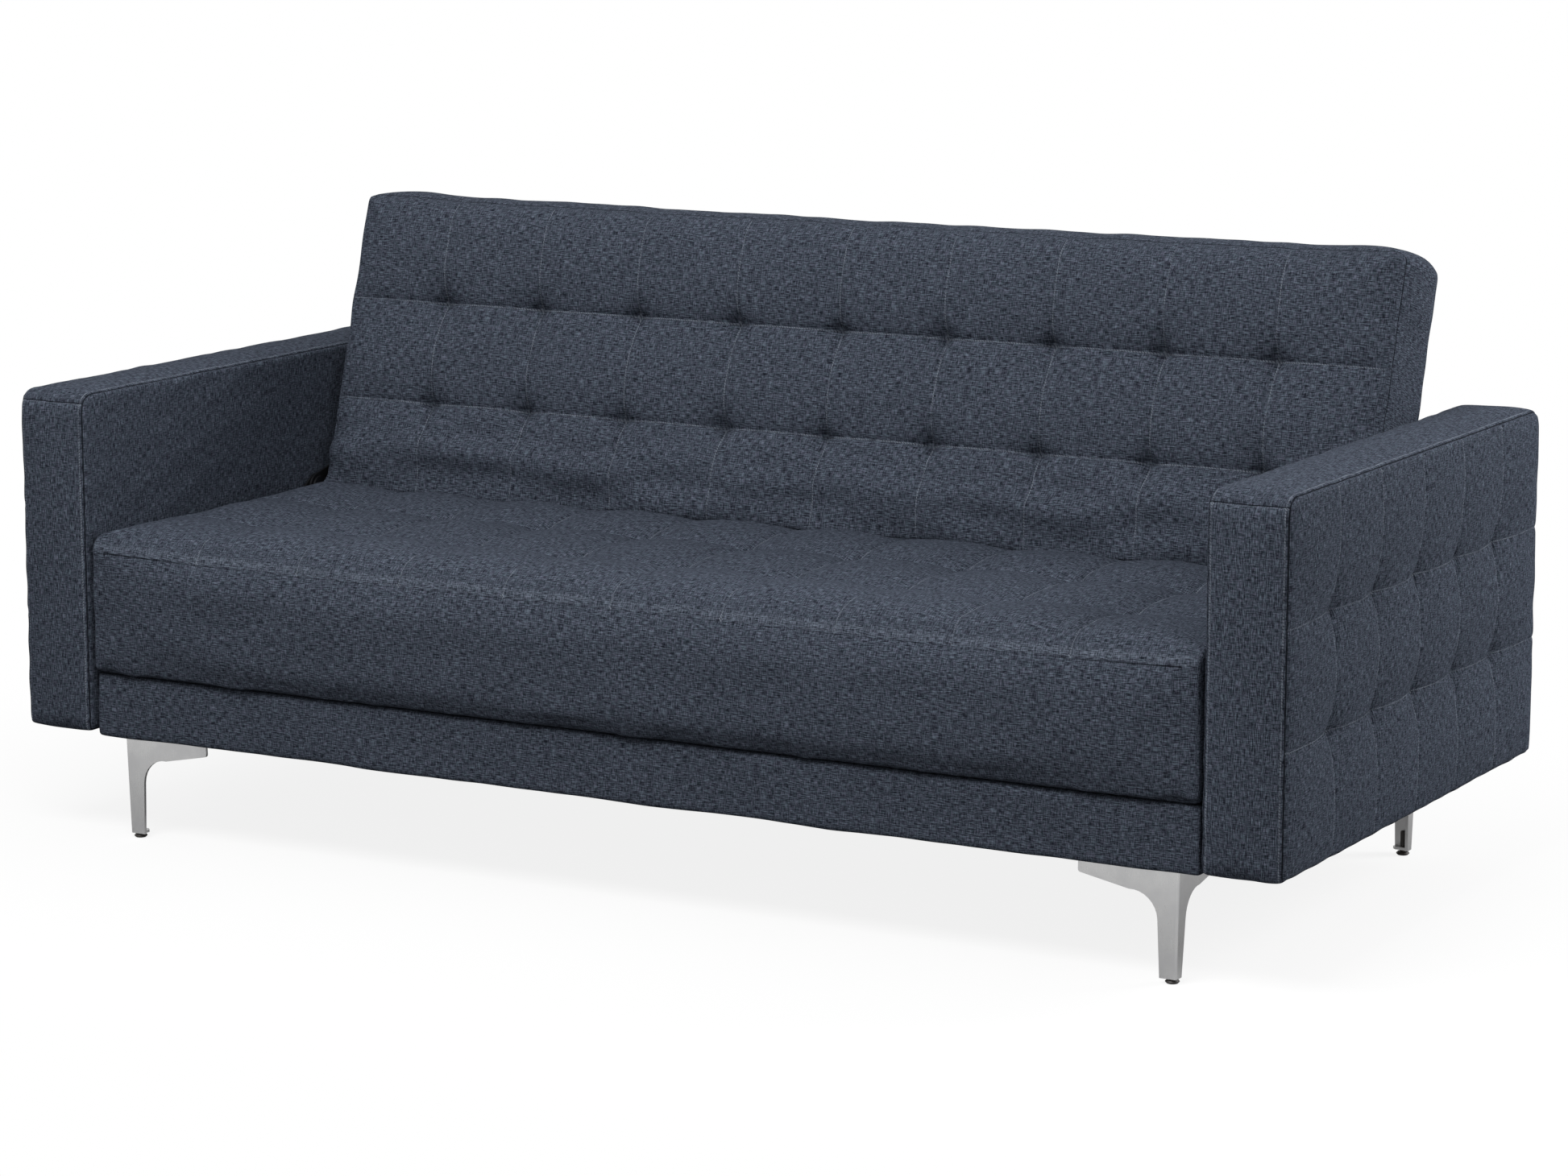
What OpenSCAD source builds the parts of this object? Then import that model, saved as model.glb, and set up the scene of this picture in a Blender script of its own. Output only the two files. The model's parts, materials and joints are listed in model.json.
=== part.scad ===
// Three-seat click-clack sofa bed: an upholstered base between two box arms, a tufted seat that
// lifts at its front, and a tufted backrest that folds down level with the seat to make a bed.
// X runs across the width, Y from front to back, Z up. The origin is on the floor under the middle.

/* [Overall] */
// Width over the two arms
overall_w = 2000; // [1600:10:2400]
// Depth of the arms, front to back
overall_d = 900; // [840:10:1100]
// Floor to the underside of the base frame
base_z = 154; // [125:1:200]
// Height of the base frame
base_h = 92; // [76:1:120]

/* [Arms] */
// Thickness of one arm
arm_t = 116; // [96:1:160]
// Height of the arm box
arm_h = 500; // [420:5:620]
// How far the arm box sits above the underside of the base
arm_lift = 4; // [0:1:20]
// Upper corner radius of the arm box, seen from the side
arm_r = 28; // [16:1:50]
// Lower corner radius of the arm box, seen from the side
arm_foot_r = 10; // [4:1:30]
// Thickness of the padded band that runs round the arm
band_t = 12; // [8:1:20]
// Thickness of the quilted pad on the arm's outer side
arm_pad_t = 16; // [10:1:24]
// Thickness of the plain panel on the arm's inner side
arm_panel_t = 8; // [5:1:12]
// Width of the wooden posts and rails inside the arm
arm_member = 42; // [30:1:60]

/* [Seat] */
// Seat depth, from its front face to the crease
seat_d = 568; // [480:4:680]
// Seat thickness, springs and foam together
seat_h = 206; // [160:2:240]
// Gap between the seat's side and the arm
seat_gap = 16; // [15:0.5:24]
// How far the seat's front face lies behind the arms' front
seat_inset = 2; // [0:1:20]
// Radius of the seat's long front edges
seat_r = 26; // [10:1:40]
// Thickness of the seat cushion's side walls
seat_wall = 6; // [4:1:12]
// Foam thickness over the seat springs
seat_foam = 108; // [70:1:130]

/* [Backrest] */
// Lean of the backrest from upright
back_lean = 16.5; // [8:0.5:30]
// Length of the backrest up its face
back_len = 468; // [380:4:560]
// Thickness of the backrest
back_t = 143; // [110:1:180]
// Gap between the backrest's side and the arm
back_gap = 18; // [17:0.5:26]
// Radius of the backrest's top corners, seen from the front
back_r = 40; // [15:1:80]
// Foam thickness in front of the backrest's frame
back_foam = 62; // [40:1:80]
// Thickness of the panel that closes the backrest's rear
rear_panel_t = 4; // [3:0.5:8]

/* [Base] */
// Thickness of the base rails
rail_t = 25; // [18:1:35]
// How far the front apron lies behind the arms' front
apron_inset = 13; // [4:1:30]
// Thickness of the apron's padding and cover
apron_t = 6; // [3:1:10]
// How far the base stops short of the arms' back
base_rear_inset = 27; // [10:1:60]
// Side of the corner blocks that carry the legs
block_w = 150; // [110:2:200]
// Thickness of the corner blocks
block_t = 22; // [15:1:30]

/* [Seat and back frames] */
// Thickness of the seat and back frame members
member_t = 22; // [16:1:30]
// Height of the seat frame members
seat_member_h = 84; // [60:2:100]
// Room for the springs between the seat frame and the foam
spring_room = 13; // [8:1:20]
// Thickness of the fabric sheets under the seat and the base
sheet_t = 1; // [0.6:0.1:2]

/* [Springs and webbing] */
// Number of sinuous springs under the seat
spring_count = 8; // [5:1:12]
// Diameter of the spring wire
spring_wire = 4; // [3:0.2:5]
// Distance between the cross wires of a spring
spring_pitch = 56; // [44:2:80]
// Half the width of a spring, to the centre of its bends
spring_half = 20; // [14:1:26]
// Width of a webbing strap
strap_w = 50; // [30:2:70]
// Thickness of a webbing strap
strap_t = 1.6; // [1:0.1:3]

/* [Legs] */
// Length of each web of the L-shaped leg along the base
leg_web = 144; // [110:1:180]
// Wall thickness of the leg
leg_wall = 4.5; // [3.5:0.1:6]
// Width of the leg's shank at its top
shank_top = 28; // [24:1:40]
// Width of the leg's shank at its foot
shank_foot = 24; // [20:1:32]
// How much narrower the shank's side face is at its foot than its front face
side_trim = 8; // [0:1:10]
// Lean of the leg's corner towards the middle
leg_lean = 1.8; // [0:0.1:3]
// How far the leg's corner lies in from the base's end
leg_inset_x = 33; // [20:1:80]
// How far the leg's corner lies in from the apron's face
leg_inset_y = 16; // [6:1:60]
// Radius of the levelling glide
glide_r = 9.5; // [7:0.5:12]
// Radius of the glide's stem
stem_r = 4; // [3:0.5:5]

/* [Hinge] */
// Thickness of the hinge plates
plate_t = 3; // [2:0.2:3.6]
// Space between two hinge plates
plate_play = 1; // [0.5:0.1:1.2]
// Radius of the hinge pin
pin_r = 6; // [5:0.5:8]
// Depth of the hinge pin below the seat's top
pin_drop = 8; // [0:0.5:12]
// Outer radius of the toothed sector
sector_r = 46; // [40:1:56]
// Direction of the pawl from the pin, counted from the rear round over the top
pawl_dir = 250; // [235:1:260]
// Back angle of the release notch, ahead of upright
fold_release = 14; // [12:1:16]
// Back angle of the reclining notch
fold_recline = 36; // [25:1:50]
// How far the pawl swings to drop into a notch
pawl_swing = 9; // [7:0.5:11]

/* [Fasteners] */
// Radius of the bolt shanks
bolt_r = 4; // [3:0.5:5]
// Radius of the bolt heads
bolt_head_r = 8; // [6:0.5:10]
// Height of the bolt heads
bolt_head_h = 3; // [2:0.5:3.5]
// Radius of the leg screws
screw_r = 2.5; // [2:0.25:3.5]

/* [Hidden] */

RIGHT = 1;
LEFT = -1;
FRONT = -1;
REAR = 1;

slip = 0.05;         // radial running clearance of a pin in its plate
bolt_slack = 0.2;    // radial clearance of a bolt in its hole
rest_gap = 0.3;      // gap between soft parts that only rest on each other
arc_n = 6;           // straight pieces in a quarter-round of upholstery

front_y = -overall_d / 2;
rear_y = overall_d / 2;
arm_in = overall_w / 2 - arm_t;
arm_z = base_z + arm_lift;
cavity_in = arm_in + arm_panel_t;
cavity_out = overall_w / 2 - arm_pad_t;

// Widths in the gap beside the seat: seat plate, back plate and bracket lie side by side
seat_half = arm_in - seat_gap;
back_half = arm_in - back_gap;
seat_plate_x = seat_half;
back_plate_x = seat_half + plate_t + plate_play;
bracket_x = back_plate_x + plate_t + plate_play;
base_half = bracket_x;

base_top = base_z + base_h;
apron_y = front_y + apron_inset;
rail_y = apron_y + apron_t;
base_rear_y = rear_y - base_rear_inset;
rear_rail_y = base_rear_y - apron_t - rail_t;

seat_z = base_top + rest_gap;
seat_y = front_y + seat_inset;
pin_y = seat_y + seat_d;
pin_z = seat_z + seat_h - pin_drop;
seat_rear = pin_y - rest_gap;
seat_in = seat_half - seat_wall;           // inner face of the seat cushion's side walls
seat_low_r = 8;                            // rounding of its lower front edge
seat_rear_r = 22;                          // rounding of its upper rear edge
seat_front_in = seat_y + seat_r - seat_low_r;   // inner face of its front wall
seat_rear_in = seat_rear - seat_wall;      // inner face of its rear wall
seat_frame_z = seat_z + sheet_t;
// Frame members and foam share the seat's thickness in proportion to their own sizes.
seat_fit = (seat_h - sheet_t - spring_room) / (seat_member_h + seat_foam);
seat_frame_h = seat_fit * seat_member_h;
seat_frame_top = seat_frame_z + seat_frame_h;
seat_foam_z = seat_frame_top + spring_room;

back_wall = 8;                             // side, top and bottom walls round the back frame
back_in = back_half - back_wall;
back_top = back_len - back_wall;
back_panel_y = back_t - rear_panel_t;
back_frame_d = back_panel_y - back_foam;
back_in_r = max(back_r - back_wall, 2);    // upper corners of the frame inside the cushion

bolt_z = base_z + base_h / 2;

// ---------------------------------------------------------------- shared shapes

function arc(c, r, a0, a1, n = arc_n) =
    [for (i = [0:n]) c + r * [cos(a0 + (a1 - a0) * i / n), sin(a0 + (a1 - a0) * i / n)]];

// A rectangle from lo to hi, its corners rounded by r = [low low, high low, high high, low high]
function rounded(lo, hi, r) = concat(
    arc(lo + [r[0], r[0]], r[0], 180, 270),
    arc([hi[0] - r[1], lo[1] + r[1]], r[1], 270, 360),
    arc(hi - [r[2], r[2]], r[2], 0, 90),
    arc([lo[0] + r[3], hi[1] - r[3]], r[3], 90, 180));

module box(lo, hi) {
    translate(lo) cube(hi - lo);
}

// Children once as drawn on the right, or mirrored to the left
module on_side(s) {
    if (s == RIGHT) children();
    else mirror([1, 0, 0]) children();
}

module both_sides() {
    for (s = [LEFT, RIGHT]) on_side(s) children();
}

// A flat outline in Y and Z, made t thick along X from x
module sheet_yz(x, t) {
    translate([x, 0, 0]) rotate([90, 0, 90]) linear_extrude(t) children();
}

// A round rod of radius r along X from x0 to x1, at p = [y, z]
module rod_x(p, r, x0, x1) {
    translate([x0, p[0], p[1]]) rotate([0, 90, 0]) cylinder(r = r, h = x1 - x0, $fn = 48);
}

// A flat bar with round ends at a and b
module link(a, ra, b, rb) {
    along = atan2(b[1] - a[1], b[0] - a[0]);
    swing = acos((ra - rb) / norm(b - a));
    up = [cos(along + swing), sin(along + swing)];
    down = [cos(along - swing), sin(along - swing)];
    translate(a) circle(r = ra, $fn = 64);
    translate(b) circle(r = rb, $fn = 64);
    polygon([a + ra * up, a + ra * down, b + rb * down, b + rb * up]);
}

// The backrest's own frame: its face is the plane Y = 0 and it rises along Z from the pin
module lean_back() {
    translate([0, pin_y, pin_z]) rotate([-back_lean, 0, 0]) children();
}

// ---------------------------------------------------------------- base frame

module wood() {
    color([0.76, 0.62, 0.42]) children();
}

module cloth() {
    color([0.27, 0.29, 0.33]) children();
}

module lining() {
    color([0.10, 0.10, 0.11]) children();
}

module steel() {
    color([0.62, 0.63, 0.65]) children();
}

// Arm bolts: behind the front rail, ahead of the hinge bracket, and ahead of the rear rail
arm_bolt_ys = [rail_y + rail_t + 136, pin_y - 174, rear_rail_y - 68];

module base_end_rail(y) {
    wood() box([-base_half + sheet_t, y, base_z],
        [base_half - sheet_t, y + rail_t, base_top - sheet_t]);
}

module base_front_rail() {
    base_end_rail(rail_y);
}

module base_rear_rail() {
    base_end_rail(rear_rail_y);
}

module base_side_rail(s) {
    wood() on_side(s) difference() {
        box([base_half - rail_t, rail_y + rail_t, base_z],
            [base_half, rear_rail_y, base_top - sheet_t]);
        for (y = arm_bolt_ys)
            rod_x([y, bolt_z], bolt_r + bolt_slack, base_half - rail_t - 1, base_half + 1);
        for (p = bracket_bolts)
            rod_x(p, bolt_r + bolt_slack, base_half - rail_t - 1, base_half + 1);
    }
}

// Dark strips stapled on the side rails' tops, where they show beside the seat
module base_side_tapes() {
    lining() both_sides() box([base_half - rail_t, rail_y + rail_t, base_top - sheet_t],
        [base_half, rear_rail_y, base_top]);
}

cross_rail_h = 0.66 * base_h;

module base_cross_rails() {
    wood() both_sides() box([base_half / 3 - rail_t / 2, rail_y + rail_t, base_z],
        [base_half / 3 + rail_t / 2, rear_rail_y, base_z + cross_rail_h]);
}

// Blocks in the four corners, the legs' top plates screw into them
module base_corner_blocks() {
    x1 = base_half - rail_t;
    wood() both_sides() {
        box([x1 - block_w, rail_y + rail_t, base_z], [x1, rail_y + rail_t + block_w, base_z + block_t]);
        box([x1 - block_w, rear_rail_y - block_w, base_z], [x1, rear_rail_y, base_z + block_t]);
    }
}

// Padded strip of cover on a rail's outside, seen in profile from its face back over the rail.
// The cover alone goes on over the rail's top, and round its ends where closed is true.
module apron_profile(closed) {
    r = apron_t / 2;
    low = base_z - sheet_t;
    depth = apron_t + rail_t;
    under = closed ? [[apron_t, base_z], [depth, base_z]]
        : [[apron_t, base_top - sheet_t], [depth, base_top - sheet_t]];
    polygon(concat(arc([r, low + r], r, 180, 270), [[apron_t, low]], under, [[depth, base_top]],
        arc([r, base_top - r], r, 90, 180)));
}

// The apron in its own frame: its face is the plane Y = 0 and the rail lies behind it
module apron() {
    cloth() {
        sheet_yz(-base_half, 2 * base_half) apron_profile(false);
        both_sides() sheet_yz(base_half - sheet_t, sheet_t) apron_profile(true);
    }
}

module base_apron_front() {
    translate([0, apron_y, 0]) apron();
}

module base_apron_rear() {
    translate([0, base_rear_y, 0]) mirror([0, 1, 0]) apron();
}

// Thin sheet stapled under the base, cut away round the four legs
module base_underlining() {
    x1 = base_half - rail_t / 2;
    y0 = rail_y + rail_t / 2;
    y1 = rear_rail_y + rail_t / 2;
    clear = 4;
    cut_x = leg_corner_x - leg_web - clear;
    cut_front = leg_corner_y(FRONT) + leg_web + clear;
    cut_rear = leg_corner_y(REAR) - leg_web - clear;
    lining() translate([0, 0, base_z - sheet_t]) linear_extrude(sheet_t)
        polygon([[-cut_x, y0], [cut_x, y0], [cut_x, cut_front], [x1, cut_front],
            [x1, cut_rear], [cut_x, cut_rear], [cut_x, y1], [-cut_x, y1],
            [-cut_x, cut_rear], [-x1, cut_rear], [-x1, cut_front], [-cut_x, cut_front]]);
}

// ---------------------------------------------------------------- legs and glides

leg_corner_x = base_half - leg_inset_x;
function leg_corner_y(end) = end == FRONT ? apron_y + leg_inset_y : base_rear_y - leg_inset_y;

leg_foot_z = 7;                            // lower edge of the leg's webs
leg_plate_t = 4;                           // thickness of its top plate
leg_edge_r = 3;                            // rounding of its outer corner
foot_plate_z = 8;
foot_plate_t = 4;
foot_shift = (base_z - leg_foot_z) * sin(leg_lean) / sqrt(2);   // the lean's shift at the foot
glide_c = foot_shift + leg_wall + stem_r + 1.5;                 // glide's centre from the corner
glide_h = 5;

// Outline of one web: u runs along the base from the corner, z is negative down from the top.
// The shank is narrower by trim at its foot, and by a little less at its root.
module web_outline(trim) {
    h = base_z - leg_foot_z + 8;
    tip_h = 22;
    tip_r = 4;
    bend_r = 38;
    root = [shank_top - 0.6 * trim + 39, -34];
    polygon(concat(
        [[0, 10], [leg_web, 10]],
        arc([leg_web - tip_r, -tip_h + tip_r], tip_r, 0, -90, 3),
        arc([root[0], root[1] - bend_r], bend_r, 84, 176, 8),
        [[shank_foot - trim, -h], [0, -h]]));
}

// The leg in its own frame: outer corner on the Z axis, webs along +X and +Y, top at Z = 0
module leg_shell() {
    h = base_z - leg_foot_z;
    reach = leg_web + 20;
    intersection() {
        translate([-20, -20, -h]) cube([reach + 20, reach + 20, h]);
        rotate(a = leg_lean, v = [1, -1, 0]) intersection() {
            translate([0, 0, -h - 8]) linear_extrude(h + 18) difference() {
                polygon(concat(arc([leg_edge_r, leg_edge_r], leg_edge_r, 180, 270, 4),
                    [[leg_web, 0], [leg_web, leg_web], [0, leg_web]]));
                translate([leg_wall, leg_wall]) square(reach);
            }
            translate([0, reach, 0]) rotate([90, 0, 0]) linear_extrude(reach + 20) web_outline(0);
            translate([-20, 0, 0]) rotate([90, 0, 90]) linear_extrude(reach + 20) web_outline(side_trim);
        }
    }
}

leg_screw_spots = [[16, 60], [60, 16], [16, 125], [125, 16]];

module leg_body() {
    foot_in = foot_shift + leg_wall - 1;
    foot_out = foot_shift + shank_foot;
    foot_deep = glide_c + stem_r + 3.5;
    foot_cut = 5;
    difference() {
        union() {
            leg_shell();
            // Top plate, an L with its inner corner cut across
            translate([0, 0, -leg_plate_t]) linear_extrude(leg_plate_t)
                polygon([[1, 1], [leg_web - 2, 1], [leg_web - 2, 30], [62, 62], [30, leg_web - 2],
                    [1, leg_web - 2]]);
            // Foot plate that takes the glide's stem
            translate([0, 0, foot_plate_z - base_z]) linear_extrude(foot_plate_t)
                polygon([[foot_in, foot_in], [foot_out, foot_in], [foot_out, foot_deep - foot_cut],
                    [foot_out - foot_cut, foot_deep], [foot_in, foot_deep]]);
        }
        translate([glide_c, glide_c, foot_plate_z - base_z - 1])
            cylinder(r = stem_r + slip, h = foot_plate_t + 2, $fn = 48);
        for (p = leg_screw_spots)
            translate([p[0], p[1], -leg_plate_t - 1])
                cylinder(r = screw_r + bolt_slack, h = leg_plate_t + 2, $fn = 32);
    }
}

// Places a leg drawn in its own frame under one corner of the base
module at_leg(side, end) {
    on_side(side) translate([leg_corner_x, leg_corner_y(end), base_z])
        mirror([1, 0, 0]) mirror([0, end == FRONT ? 0 : 1, 0]) children();
}

module leg(side, end) {
    color([0.68, 0.68, 0.67]) at_leg(side, end) leg_body();
}

module leg_screws() {
    steel() for (side = [LEFT, RIGHT], end = [FRONT, REAR], p = leg_screw_spots)
        at_leg(side, end) translate([p[0], p[1], 0]) {
            translate([0, 0, -leg_plate_t - 2.5]) cylinder(r = 2 * screw_r, h = 2.5, $fn = 32);
            translate([0, 0, -leg_plate_t - 1]) cylinder(r = screw_r, h = leg_plate_t + 1, $fn = 32);
        }
}

// Round foot on a threaded stem, its underside dished at the rim
module glide(side, end) {
    color([0.16, 0.15, 0.15]) at_leg(side, end) translate([glide_c, glide_c, -base_z])
        rotate_extrude($fn = 48) polygon([[0, 0], [glide_r - 2, 0], [glide_r, 2],
            [glide_r, glide_h - 2], [glide_r - 2, glide_h], [stem_r, glide_h],
            [stem_r, 34], [stem_r - 1, 35], [0, 35]]);
}

// ---------------------------------------------------------------- arms

arm_top_in_r = max(arm_r - band_t, 2);     // the corners inside the band
arm_foot_in_r = max(arm_foot_r - band_t, 2);

module arm_outline(inset) {
    top_r = inset == 0 ? arm_r : arm_top_in_r;
    foot_r = inset == 0 ? arm_foot_r : arm_foot_in_r;
    polygon(rounded([front_y + inset, arm_z + inset], [rear_y - inset, arm_z + arm_h - inset],
        [foot_r, foot_r, top_r, top_r]));
}

// The padded band that runs over the front, top, back and underside as one strip
module arm_band(s) {
    cloth() on_side(s) sheet_yz(arm_in, arm_t) difference() {
        arm_outline(0);
        arm_outline(band_t);
    }
}

module arm_outer_pad(s) {
    cloth() on_side(s) sheet_yz(cavity_out, arm_pad_t) arm_outline(band_t);
}

module arm_inner_panel(s) {
    cloth() on_side(s) difference() {
        sheet_yz(arm_in, arm_panel_t) arm_outline(band_t);
        for (y = arm_bolt_ys) rod_x([y, bolt_z], bolt_r + bolt_slack, arm_in - 1, cavity_in + 1);
    }
}

cavity_y = overall_d / 2 - band_t;
cavity_z0 = arm_z + band_t;
cavity_z1 = arm_z + arm_h - band_t;
arm_bottom_h = 2 * (bolt_z - cavity_z0);

module arm_posts(s) {
    wood() on_side(s) for (y0 = [-cavity_y, cavity_y - arm_member])
        box([cavity_in, y0, cavity_z0 + arm_foot_in_r],
            [cavity_out, y0 + arm_member, cavity_z1 - arm_top_in_r]);
}

// Bottom rail, which the arm bolts run into, a middle rail behind the seams, and the top rail
module arm_rails(s) {
    y1 = cavity_y - arm_member;
    mid_z = arm_z + 2 * arm_h / 3;
    wood() on_side(s) {
        difference() {
            box([cavity_in, -y1, cavity_z0], [cavity_out, y1, cavity_z0 + arm_bottom_h]);
            for (y = arm_bolt_ys) rod_x([y, bolt_z], bolt_r + bolt_slack, cavity_in - 1, cavity_out - 20);
        }
        box([cavity_out - rail_t, -y1, mid_z - arm_member / 2], [cavity_out, y1, mid_z + arm_member / 2]);
        box([cavity_in, -y1, cavity_z1 - rail_t], [cavity_out, y1, cavity_z1]);
    }
}

// Discs that hold the arm off the base, so that the hinge bracket has room
module arm_spacers() {
    color([0.15, 0.15, 0.16]) both_sides() for (y = arm_bolt_ys) difference() {
        rod_x([y, bolt_z], 2.5 * bolt_head_r, base_half, arm_in);
        rod_x([y, bolt_z], bolt_r + bolt_slack, base_half - 1, arm_in + 1);
    }
}

module arm_bolts() {
    x0 = base_half - rail_t;
    steel() both_sides() for (y = arm_bolt_ys) {
        rod_x([y, bolt_z], bolt_head_r, x0 - bolt_head_h, x0);
        rod_x([y, bolt_z], bolt_r, x0 - 1, cavity_out - 24);
    }
}

// ---------------------------------------------------------------- seat

// Soft cushion with its cover, hollow below where the frame and the springs are
module seat_cushion() {
    r = seat_r;
    cloth() difference() {
        sheet_yz(-seat_half, 2 * seat_half)
            polygon(rounded([seat_y, seat_z], [seat_rear, seat_z + seat_h],
                [seat_low_r, 2, seat_rear_r, r]));
        box([-seat_in, seat_front_in, seat_z - 1], [seat_in, seat_rear_in, seat_foam_z]);
        both_sides() for (p = seat_plate_bolt_spots) rod_x(p, bolt_r + bolt_slack, seat_in - 1, seat_half + 1);
    }
}

module seat_front_rail() {
    wood() box([-seat_in, seat_front_in, seat_frame_z],
        [seat_in, seat_front_in + member_t, seat_frame_top]);
}

module seat_rear_rail() {
    wood() box([-seat_in, seat_rear_in - member_t, seat_frame_z],
        [seat_in, seat_rear_in, seat_frame_top]);
}

module seat_side_rails() {
    wood() both_sides() difference() {
        box([seat_in - member_t, seat_front_in + member_t, seat_frame_z],
            [seat_in, seat_rear_in - member_t, seat_frame_top]);
        for (p = seat_plate_bolt_spots)
            rod_x(p, bolt_r + bolt_slack, seat_in - member_t - 1, seat_in + 1);
    }
}

module seat_cross_rails() {
    wood() both_sides() box([seat_in / 3 - member_t / 2, seat_front_in + member_t, seat_frame_z],
        [seat_in / 3 + member_t / 2, seat_rear_in - member_t, seat_frame_z + 0.6 * seat_frame_h]);
}

// Flat snake of spring wire from the front rail to the rear rail, along +Y from the origin
module spring_outline(turns, pitch) {
    for (i = [0 : turns])
        translate([0, i * pitch]) square([2 * spring_half, spring_wire], center = true);
    for (i = [0 : turns - 1]) {
        out = i % 2 == 0 ? 1 : -1;
        translate([out * spring_half, (i + 0.5) * pitch]) intersection() {
            difference() {
                circle(r = (pitch + spring_wire) / 2, $fn = 48);
                circle(r = (pitch - spring_wire) / 2, $fn = 48);
            }
            translate([out > 0 ? 0 : -pitch, -pitch]) square([pitch, 2 * pitch]);
        }
    }
}

// Sinuous springs, side by side over the whole seat
module seat_springs() {
    y0 = seat_front_in + member_t / 2;
    y1 = seat_rear_in - member_t / 2;
    turns = floor((y1 - y0) / spring_pitch);
    spacing = 2 * (seat_in - member_t) / spring_count;
    color([0.35, 0.36, 0.38])
    for (k = [0 : spring_count - 1])
        translate([(k - (spring_count - 1) / 2) * spacing, y0, seat_frame_top])
            linear_extrude(spring_wire) spring_outline(turns, (y1 - y0) / turns);
}

module seat_underlining() {
    lining() box([-seat_in, seat_front_in, seat_z], [seat_in, seat_rear_in, seat_z + sheet_t]);
}

// ---------------------------------------------------------------- backrest

// A box from lo to hi, cut to the frame's outline with its rounded upper corners
module back_piece(lo, hi) {
    translate([0, hi[1], 0]) rotate([90, 0, 0]) linear_extrude(hi[1] - lo[1]) intersection() {
        translate([lo[0], lo[2]]) square([hi[0] - lo[0], hi[2] - lo[2]]);
        polygon(rounded([-back_in, back_wall], [back_in, back_top], [2, 2, back_in_r, back_in_r]));
    }
}

// Soft cushion with its cover, hollow behind where the frame and the webbing are
module back_cushion() {
    soft_r = 20;
    cloth() lean_back() difference() {
        intersection() {
            translate([0, back_t, 0]) rotate([90, 0, 0]) linear_extrude(back_t - rest_gap)
                polygon(rounded([-back_half, rest_gap], [back_half, back_len], [6, 6, back_r, back_r]));
            sheet_yz(-back_half, 2 * back_half) polygon(rounded([rest_gap, rest_gap],
                [back_t, back_len], [soft_r, 2, soft_r / 2, soft_r]));
        }
        back_piece([-back_in, back_foam, back_wall], [back_in, back_t + 1, back_top]);
        both_sides() for (p = back_plate_bolt_spots) rod_x(p, bolt_r + bolt_slack, back_in - 1, back_half + 1);
    }
}

module back_rail(z0) {
    wood() lean_back() back_piece([-back_in, back_foam, z0], [back_in, back_panel_y, z0 + member_t]);
}

module back_top_rail() {
    back_rail(back_top - member_t);
}

module back_bottom_rail() {
    back_rail(back_wall);
}

// Two outer uprights, which carry the hinge plates, and two inner ones
module back_stiles() {
    z0 = back_wall + member_t;
    z1 = back_top - member_t;
    wood() lean_back() both_sides() {
        difference() {
            back_piece([back_in - member_t, back_foam, z0], [back_in, back_panel_y, z1]);
            for (p = back_plate_bolt_spots)
                rod_x(p, bolt_r + bolt_slack, back_in - member_t - 1, back_in + 1);
        }
        box([back_in / 3 - member_t / 2, back_foam + 2 * strap_t, z0],
            [back_in / 3 + member_t / 2, back_panel_y, z1]);
    }
}

// Elastic straps across the frame's front: upright ones, and two long ones in front of them
module back_webbing() {
    z0 = back_wall + member_t;
    z1 = back_top - member_t;
    half = back_in - member_t;
    color([0.72, 0.66, 0.52]) lean_back() {
        for (i = [-3 : 3]) {
            x = i * half / 4;
            box([x - strap_w / 2, back_foam + strap_t, z0], [x + strap_w / 2, back_foam + 2 * strap_t, z1]);
        }
        for (z = [z0 + (z1 - z0) / 3, z0 + 2 * (z1 - z0) / 3])
            box([-half, back_foam, z - strap_w / 2], [half, back_foam + strap_t, z + strap_w / 2]);
    }
}

module back_rear_panel() {
    cloth() lean_back() back_piece([-back_in, back_panel_y, back_wall], [back_in, back_t, back_top]);
}

// ---------------------------------------------------------------- click-clack hinge

pin = [pin_y, pin_z];
boss_r = 20;
bracket_bolts = [[pin_y - 90, bolt_z], [pin_y - 40, bolt_z], [pin_y + 10, bolt_z]];
seat_bolt_z = seat_frame_z + seat_frame_h / 2;
seat_plate_bolt_spots = [[pin_y - 60, seat_bolt_z], [pin_y - 160, seat_bolt_z],
    [pin_y - 260, seat_bolt_z]];
// In the backrest's own frame
back_bolt_y = (back_foam + back_panel_y) / 2;
back_plate_bolt_spots = [[back_bolt_y, 62], [back_bolt_y, 122], [back_bolt_y, 182]];

// Directions from the pin: out to the pawl's nose, and across it
toward = [cos(pawl_dir), sin(pawl_dir)];
across = [-sin(pawl_dir), cos(pawl_dir)];
pawl_reach = 42;
pawl_pin = pin + (sector_r + 4) * toward - pawl_reach * across;
pawl_pin_r = 4;
nose_half = 1.8;                           // half the width of the pawl's nose at its tip
nose_r = sector_r + 0.5;                   // the lifted nose's distance from the pin
nose_travel = pawl_reach * sin(pawl_swing);
fold_flat = 90 - back_lean;                // back angle at which it lies level with the seat

// Steel upright bolted to the base's side rail, it carries the hinge pin and the pawl
module hinge_bracket(s) {
    foot_r = 30;
    steel() on_side(s) difference() {
        sheet_yz(bracket_x, plate_t) {
            link(pin, boss_r, bracket_bolts[1], foot_r);
            link(pin, boss_r, pawl_pin, 14);
            link(bracket_bolts[0], foot_r, bracket_bolts[2], foot_r);
        }
        rod_x(pin, pin_r + slip, bracket_x - 1, bracket_x + plate_t + 1);
        rod_x(pawl_pin, pawl_pin_r + slip, bracket_x - 1, bracket_x + plate_t + 1);
        for (p = bracket_bolts) rod_x(p, bolt_r + bolt_slack, bracket_x - 1, bracket_x + plate_t + 1);
    }
}

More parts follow.
